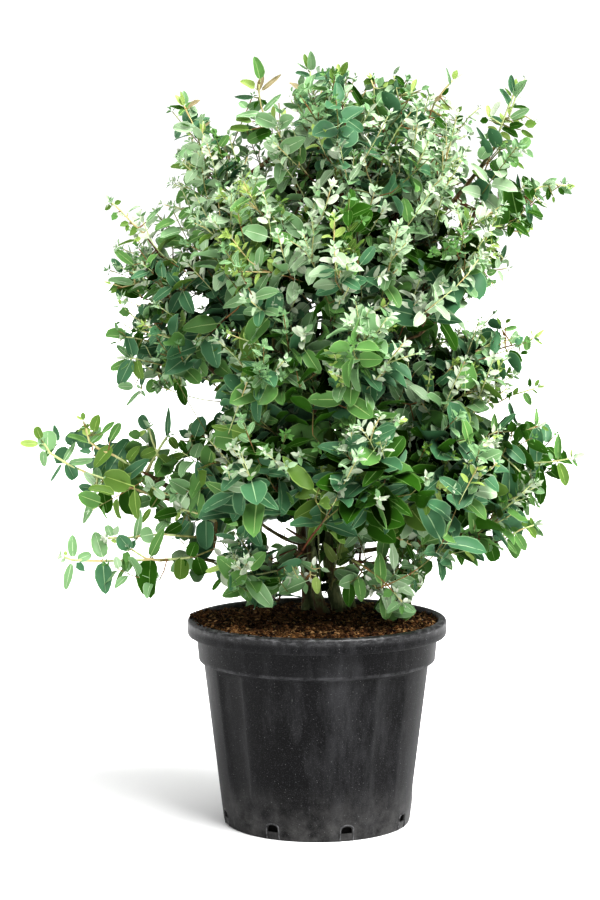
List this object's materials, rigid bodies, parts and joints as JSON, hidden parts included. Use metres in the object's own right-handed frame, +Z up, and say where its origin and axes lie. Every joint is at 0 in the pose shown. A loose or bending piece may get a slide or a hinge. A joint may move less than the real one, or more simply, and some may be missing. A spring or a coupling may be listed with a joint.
{
  "type": "potted cider gum shrub",
  "caption": "Bushy evergreen shrub with slender upright stems and round blue-green leaves, growing in a tapered black nursery pot, for display or landscaping.",
  "frame": {"origin": "middle of the pot's flat underside", "axes": "+Z up along the pot's axis; the side seen in the picture faces -Y, with +X to its right"},
  "size_m": [0.8609, 0.6158, 1.1745],
  "materials": {
    "bough_bark": "thin smooth young bark",
    "foliage": "glaucous blue-green leaves with pale young tips",
    "black_plastic": "satin black moulded plastic, dusty",
    "brown_compost": "dark fibrous peat compost, moist",
    "stem_bark": "green-brown bark peeling in reddish strips"
  },
  "bodies": {
    "root": {"bough_back_left": "bough_bark", "bough_back_right": "bough_bark", "bough_inner_left": "bough_bark", "bough_left_arm": "bough_bark", "bough_left_middle": "bough_bark", "bough_left_shoulder": "bough_bark", "bough_low_arm": "bough_bark", "bough_lower_front": "bough_bark", "bough_lower_left": "bough_bark", "bough_middle_front": "bough_bark", "bough_right_low": "bough_bark", "bough_right_middle": "bough_bark", "bough_right_skirt": "bough_bark", "bough_skirt_left": "bough_bark", "bough_skirt_right": "bough_bark", "bough_top_left": "bough_bark", "bough_top_right": "bough_bark", "bough_upper_front": "bough_bark", "bough_upper_right": "bough_bark", "left_arm": "foliage", "left_arm_tip": "foliage", "left_middle": "foliage", "left_shoulder": "foliage", "low_arm": "foliage", "low_arm_tip": "foliage", "low_left_inner": "foliage", "lower_front": "foliage", "lower_left_back": "foliage", "lower_left_front": "foliage", "lower_right_back": "foliage", "lower_right_front": "foliage", "middle_front": "foliage", "middle_left_back": "foliage", "middle_left_front": "foliage", "middle_right_back": "foliage", "pot": "black_plastic", "right_low": "foliage", "right_middle": "foliage", "right_skirt": "foliage", "right_spray": "foliage", "right_tip": "foliage", "skirt_left": "foliage", "skirt_right": "foliage", "soil": "brown_compost", "stem_left": "stem_bark", "stem_middle": "stem_bark", "stem_right": "stem_bark", "stem_thin": "stem_bark", "top_back": "foliage", "top_front": "foliage", "top_left": "foliage", "top_left_tip": "foliage", "top_right_back": "foliage", "top_right_front": "foliage", "top_right_tip": "foliage", "upper_front": "foliage", "upper_left_back": "foliage", "upper_left_front": "foliage", "upper_right_back": "foliage", "upper_right_front": "foliage"}
  },
  "joints": []
}
